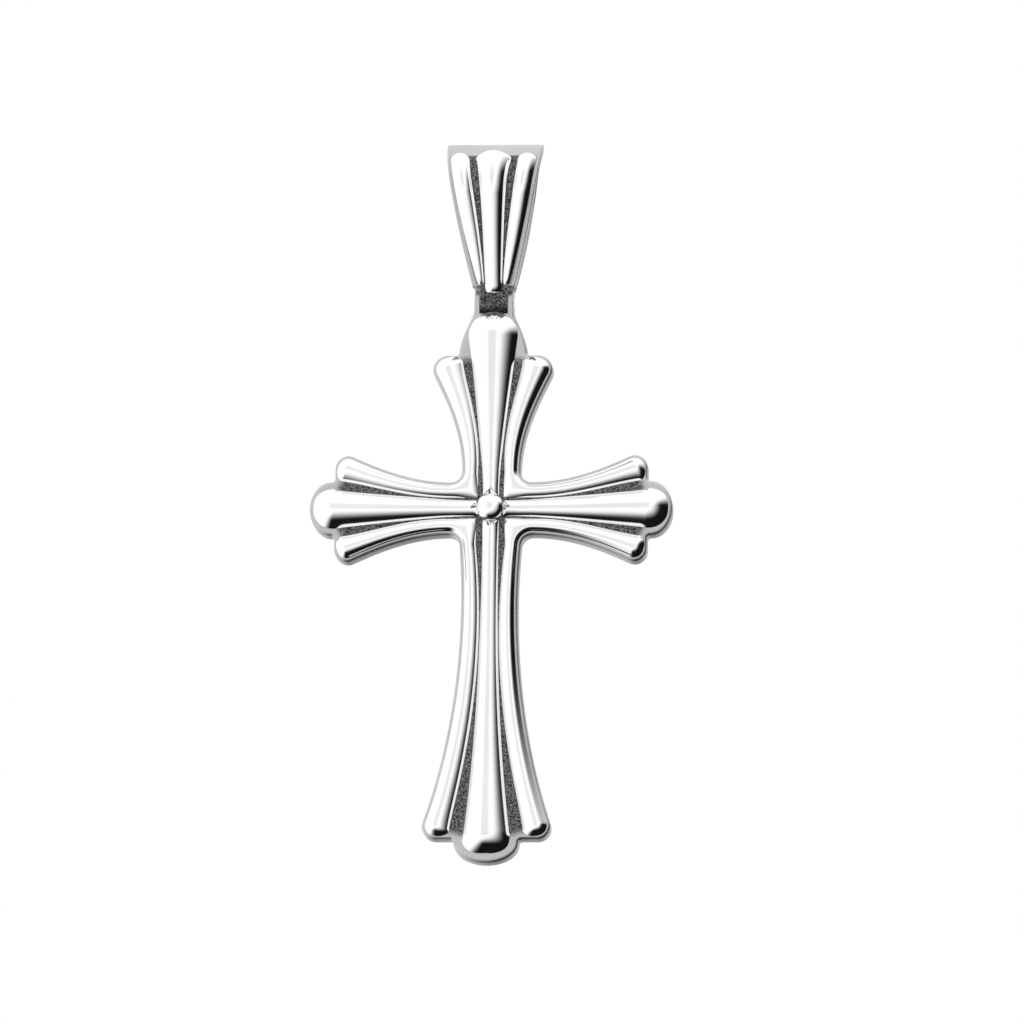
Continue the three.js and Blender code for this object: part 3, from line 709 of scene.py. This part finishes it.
SEAT_HEIGHT = 0.3
SEAT_TIP_HEIGHT = 0.03
SEAT_HOLLOW = 1.2
SEAT_UNDER_DOME = 0.05
SEAT_TURN_STEPS = 96
SEAT_SLOPE_STEPS = 12
boss_radius = high_corner("boss_stud").x


def seat_edge(turn):
    return SEAT_REACH / (abs(math.cos(turn)) + abs(math.sin(turn)))


def seat_place(turn, radius, height):
    across, up = radius * math.cos(turn), radius * math.sin(turn)
    return Vector((across, plate_face - LAID_GAP - height, crossing_up + up))


bm = bmesh.new()
around = [math.tau * i / SEAT_TURN_STEPS for i in range(SEAT_TURN_STEPS)]
bore = SHANK_RADIUS + LAID_GAP
skirt_from = boss_radius - SEAT_UNDER_DOME
seat_rings = [
    [bm.verts.new(seat_place(t, bore, 0) * MM) for t in around],
    [bm.verts.new(seat_place(t, bore, SEAT_HEIGHT - LAID_GAP) * MM) for t in around],
]
for i in range(SEAT_SLOPE_STEPS + 1):
    share = i / SEAT_SLOPE_STEPS
    height = mix(SEAT_TIP_HEIGHT, SEAT_HEIGHT - LAID_GAP, (1 - share) ** SEAT_HOLLOW)
    seat_rings.append([
        bm.verts.new(seat_place(t, mix(skirt_from, seat_edge(t), share), height) * MM) for t in around])
seat_rings.append([bm.verts.new(seat_place(t, seat_edge(t), 0) * MM) for t in around])
ring_wall(bm, seat_rings + [seat_rings[0]])
seat = piece_from("four_point_seat", bm, polish)
hand_over(seat, polish, "cross", "polished", "boss_seat")


# ---- Boss stud ----
# A polished dome whose shank goes through the seat and the plate and is riveted flush behind.

RIVETED_END = ((0.02, 0.02), (0.2, 0.015), (SHANK_RADIUS, -0.03))  # radius, how far past the back
DOME_STEPS = 24
dome_rise = plate_face - low_corner("boss_stud").y - SEAT_HEIGHT - 2 * LAID_GAP


def turned(name, profile, place, steps=64):
    """A turned solid: profile gives (radius, depth) from one end of the axis to the other."""
    bm = bmesh.new()
    around = [math.tau * i / steps for i in range(steps)]
    rings = [[bm.verts.new(place(t, radius, depth) * MM) for t in around] for radius, depth in profile]
    ring_wall(bm, rings)
    bm.faces.new(rings[0])
    bm.faces.new(rings[-1])
    return piece_from(name, bm, polish)


def stud_place(turn, radius, depth):
    across, up = radius * math.cos(turn), radius * math.sin(turn)
    return Vector((across, plate_face - depth, crossing_up + up))


under = SEAT_HEIGHT + 2 * LAID_GAP
profile = [(radius, -2 * plate_back - past) for radius, past in RIVETED_END]
profile += [(SHANK_RADIUS, under), (boss_radius, under)]
profile += [
    (max(0.01, boss_radius * math.cos(t)), under + dome_rise * math.sin(t))
    for t in (math.pi / 2 * i / DOME_STEPS for i in range(1, DOME_STEPS + 1))]
hand_over(turned("domed_stud", profile, stud_place), polish, "cross", "polished", "boss_stud")


# ---- Hinge pin ----
# A round pin through both cheeks and the bail's knuckle, its ends peened to a slight dome.


def pin_place(turn, radius, along):
    return Vector((along, radius * math.cos(turn), hinge_up + radius * math.sin(turn)))


PEENED_END = ((0.02, 0.05), (0.2, 0.04), (0.33, 0.015), (pin_radius, -0.05))  # radius, how far out
dome = [(radius, cheek_out + past) for radius, past in PEENED_END]
profile = [(radius, -along) for radius, along in dome] + dome[::-1]
hand_over(turned("peened_pin", profile, pin_place), polish, "cross", "polished", "hinge_pin")


# ---- Bail strap ----
# A tapering strap bent over into a teardrop loop that a chain runs through, its foot narrowed to a
# knuckle bored for the pin. Satin, with the cast ground left between the flutes and on the knuckle,
# coloured dark there as painted shade.

bend_out = high_corner("bail_loop").y
bail_wall = high_corner("bail_loop").z
chain_room = bend_out - bail_wall
bend_up = -chain_room
bail_top_half = high_corner("bail_loop").x
BAIL_FOOT_HALF = 1.4
BAIL_BELLY = 0.34
BAIL_BELLY_HIGH = 0.8
BAIL_BACK_TAPER = 0.18
EYE_FOOT_RADIUS = 0.45
WEB = 0.5
STRAP_EDGE_ROUND = 0.1
STRAP_RIM = 0.3
STRAP_RIM_FADE = 0.15
KNUCKLE_RIM_OUT = 0.4
FACES_FRONT = -0.2
leaf_tilt = math.asin((bend_out - knuckle_radius) / (bend_up - hinge_up))
eye_foot = hinge_up + pin_radius + HINGE_PLAY + WEB + EYE_FOOT_RADIUS
eye_tilt = math.asin((chain_room - EYE_FOOT_RADIUS) / (bend_up - eye_foot))
shoulder = hinge_up + knuckle_radius + hinge_air
FLUTE_START = 1.4


def bail_half(up):
    share = (bail_wall - up) / (bail_wall - hinge_up)
    bulge = math.sin(math.pi * min(1.0, max(0.0, share)) ** BAIL_BELLY_HIGH)
    return mix(bail_top_half, BAIL_FOOT_HALF, share) + BAIL_BELLY * bulge


def strap_half(point):
    """Half width of the strap at a (front, up) point: the strap is narrower behind."""
    return bail_half(point.y) * (1 - BAIL_BACK_TAPER * smooth_share(point.x, -knuckle_radius, bend_out))


def hang(radius, centre_up, lean):
    """A point (front, up) on a round about the bail's middle plane, lean measured up from the front."""
    return Vector((-radius * math.cos(lean), centre_up + radius * math.sin(lean)))


def leaf_side(radius, tilt, foot_radius, foot_up, counts):
    """Half of a loop's outline from its top down the front to its foot."""
    bend, straight, foot = counts
    line = [hang(radius, bend_up, mix(math.pi / 2, -tilt, i / bend)) for i in range(bend)]
    start, end = hang(radius, bend_up, -tilt), hang(foot_radius, foot_up, -tilt)
    line += [mix(start, end, i / straight) for i in range(straight)]
    leans = (mix(-tilt, -math.pi / 2, i / foot) for i in range(foot + 1))
    return line + [hang(foot_radius, foot_up, lean) for lean in leans]


def strap_rim(outer, inner):
    """Section of the strap between an outer and an inner point, as (x, front, up)."""
    deep = (inner - outer).length
    into = (inner - outer) / deep
    wide, turn_steps, edge = 26, 5, STRAP_EDGE_ROUND
    out_flat, in_flat = strap_half(outer) - edge, strap_half(inner) - edge
    section = [(mix(-1, 1, i / wide) * out_flat, 0.0) for i in range(wide + 1)]
    section += arc((out_flat, edge), edge, edge, -90, 0, turn_steps)[1:]
    section += arc((in_flat, deep - edge), edge, edge, 0, 90, turn_steps)[:-1]
    section += [(mix(1, -1, i / wide) * in_flat, deep) for i in range(wide + 1)]
    section += arc((-in_flat, deep - edge), edge, edge, 90, 180, turn_steps)[1:]
    section += arc((-out_flat, edge), edge, edge, 180, 270, turn_steps)[:-1]
    return [Vector((x, *(outer + into * depth))) for x, depth in section]


loop_steps = (40, 50, 14)
outer_line = leaf_side(bend_out, leaf_tilt, knuckle_radius, hinge_up, loop_steps)
inner_line = leaf_side(chain_room, eye_tilt, EYE_FOOT_RADIUS, eye_foot, loop_steps)
front_half = list(zip(outer_line, inner_line))
back_half = [(Vector((-o.x, o.y)), Vector((-i.x, i.y))) for o, i in front_half[-2:0:-1]]
bm = bmesh.new()
strap_rings = [
    [bm.verts.new(point * MM) for point in strap_rim(outer, inner)]
    for outer, inner in front_half + back_half]
ring_wall(bm, strap_rings + [strap_rings[0]])
strap = piece_from("bail_strap", bm, satin)
below, past_side = hinge_up - 3, 9
carve(strap, [
    block_tool((knuckle_half, -TOOL_REACH, below), (past_side, TOOL_REACH, shoulder)),
    block_tool((-past_side, -TOOL_REACH, below), (-knuckle_half, TOOL_REACH, shoulder)),
    round_tool(pin_radius + HINGE_PLAY, (0, 0, hinge_up), (1, 0, 0)),
], "DIFFERENCE")
# The ground attribute places painted shade on the strap: between the flutes and on the knuckle's front.
ground = strap.data.attributes.new("ground", "FLOAT", "POINT")
for i, vertex in enumerate(strap.data.vertices):
    x, y, up = vertex.co / MM
    in_front = y < FACES_FRONT and vertex.normal.y < FACES_FRONT and up < bail_wall - FLUTE_START
    edge_gap = (bail_half(up) if up > shoulder + HAIR else knuckle_half + KNUCKLE_RIM_OUT) - abs(x)
    inside = min(1.0, max(0.0, (edge_gap - STRAP_RIM) / STRAP_RIM_FADE))
    ground.data[i].value = inside if in_front else 0.0
hand_over(strap, satin, "bail", "satin", "bail_loop")


# ---- Bail flutes ----
# Three domed flutes laid down the strap's front, the middle one wide and the outer two narrow,
# drawing together towards the hinge. The same node tree lays them.

BEND_GAP = 0.03
FLUTE_END_ROUND = 0.6
FLUTE_END_SQUARE = 0.4
FLUTE_BORDER = 0.26
FLUTE_FOOT_BORDER = 0.45
MIDDLE_FLUTE = dict(half=1.6, foot_half=0.62, draws_in=0.5, height=0.9, foot_height=0.3, end=0.5)
SIDE_FLUTE = dict(half=0.74, foot_half=0.26, draws_in=2.2, height=0.5, foot_height=0.2, end=1.12)
top_lean = math.asin((bail_wall - FLUTE_START - bend_up) / bend_out)
bend_length = bend_out * (top_lean + leaf_tilt)
bend_foot = bend_up - bend_out * math.sin(leaf_tilt)


def flute(side, size):
    stations = []
    flute_length = bend_length + (bend_foot - hinge_up - size["end"]) / math.cos(leaf_tilt)
    ends, body = 16, 110
    shares = [FLUTE_END_ROUND / flute_length * (1 - math.cos(math.pi / 2 * i / ends)) for i in range(ends)]
    first, last = FLUTE_END_ROUND / flute_length, 1 - FLUTE_END_ROUND / flute_length
    middle_shares = [mix(first, last, i / body) for i in range(body + 1)]
    shares = shares + middle_shares + [1 - share for share in reversed(shares)]
    for share in shares:
        down = share * flute_length
        lean = max(top_lean - down / bend_out, -leaf_tilt)
        past = max(0.0, down - bend_length)
        off = Vector((0, -math.cos(lean), math.sin(lean)))
        heading = Vector((0, math.sin(lean), math.cos(lean))) * -1
        front = -bend_out * math.cos(lean) + past * math.sin(leaf_tilt)
        up = bend_up + bend_out * math.sin(lean) - past * math.cos(leaf_tilt)
        left_over = min(1.0, min(share, 1 - share) / first)
        rounding = math.sqrt(max(0.0, 1 - (1 - left_over) ** 2))
        half = mix(size["half"], size["foot_half"], share ** size["draws_in"])
        centre = side * (bail_half(up) - mix(FLUTE_BORDER, FLUTE_FOOT_BORDER, share) - half)
        wide = half * rounding**FLUTE_END_SQUARE
        stations.append(dict(
            place=Vector((centre, front, up)) + off * BEND_GAP, leftward=Vector((1, 0, 0)), off=off,
            heading=heading, left=wide, right=wide,
            rise=mix(size["height"], size["foot_height"], share) * rounding))
    return stations


for place, side, size in (("middle", 0, MIDDLE_FLUTE), ("right", 1, SIDE_FLUTE), ("left", -1, SIDE_FLUTE)):
    made = lay_moulding("strap_flute_" + place, flute(side, size))
    hand_over(made, polish, "bail", "polished", "bail_flute_" + place)


# ---- Studio ----
# The pendant hangs in a white light tent over a pale floor. A dark card stands low on the right of
# the tent, outside the picture, and gives the polished metal its black edges.

CAMERA_BELOW = math.radians(12)
CAMERA_RIGHT = math.radians(5)
CAMERA_ROLL = math.radians(0.85)
CAMERA_TARGET = (1.59, 0, -28.5)
CAMERA_AWAY = 882
TENT_WHITE = 1.1
TENT_SOFTER = 0.22  # less white right in front of the pendant
CARD_BLACK = 0.008
CARD_SIDE = (0.72, 0, -0.69)
BEHIND = (0.4, 0.92, 0)  # the card ends here, so the metal's far edges stay white
FLOOR_HALF = 8
FLOOR_BELOW = 0.3
level = math.cos(CAMERA_BELOW)
to_camera = Vector((
    math.sin(CAMERA_RIGHT) * level, -math.cos(CAMERA_RIGHT) * level, -math.sin(CAMERA_BELOW)))
front_heading = Vector((-to_camera.x, to_camera.y, -to_camera.z))


def tent():
    world = bpy.data.worlds.new("light_tent")
    world.use_nodes = True
    tree = world.node_tree
    sky = put(tree, "ShaderNodeTexCoord").outputs["Generated"]

    def facing(direction):
        towards = Vector(direction).normalized()
        made = put(tree, "ShaderNodeVectorMath", (sky, towards), operation="DOT_PRODUCT")
        return made.outputs["Value"]

    def ramp(value, low, high):
        return result(put(
            tree, "ShaderNodeMapRange", (value, low, high, 0.0, 1.0), interpolation_type="SMOOTHSTEP"))

    ahead = facing(front_heading)
    dark = reckon(tree, "MULTIPLY", ramp(ahead, 0.95, 0.2), ramp(facing(CARD_SIDE), 0.04, 0.5))
    dark = reckon(tree, "MULTIPLY", dark, ramp(facing(BEHIND), 0.95, 0.8))
    soft = reckon(tree, "MULTIPLY", ramp(ahead, 0.9, 0.98), TENT_SOFTER)
    white = reckon(tree, "SUBTRACT", TENT_WHITE, soft)
    light = blend_values(tree, dark, white, CARD_BLACK)
    camera_ray = put(tree, "ShaderNodeLightPath").outputs["Is Camera Ray"]
    strength = blend_values(tree, camera_ray, light, 1.0)
    backdrop = tree.nodes["Background"]
    plug(tree, strength, backdrop.inputs["Strength"])
    backdrop.inputs["Color"].default_value = (1, 1, 1, 1)
    bpy.context.scene.world = world


tent()
bpy.context.scene.view_settings.view_transform = "Standard"

bm = bmesh.new()
bmesh.ops.create_grid(bm, x_segments=1, y_segments=1, size=FLOOR_HALF)
bmesh.ops.translate(bm, verts=bm.verts, vec=(0, 0, -FLOOR_BELOW))
pale = bpy.data.materials.new("pale_floor")
pale.use_nodes = True
pale.node_tree.nodes["Principled BSDF"].inputs["Base Color"].default_value = (0.85, 0.85, 0.85, 1)
pale.node_tree.nodes["Principled BSDF"].inputs["Roughness"].default_value = 0.9
floor = piece_from("floor", bm, pale)
floor.visible_glossy = False

lens = bpy.data.cameras.new("camera")
lens.lens = 400
lens.sensor_width = 36
camera = bpy.data.objects.new("camera", lens)
bpy.context.scene.collection.objects.link(camera)
camera.location = (Vector(CAMERA_TARGET) + to_camera * CAMERA_AWAY) * MM
camera.rotation_mode = "QUATERNION"
camera.rotation_quaternion = (-to_camera).to_track_quat("-Z", "Y") @ Quaternion((0, 0, 1), CAMERA_ROLL)
bpy.context.scene.camera = camera
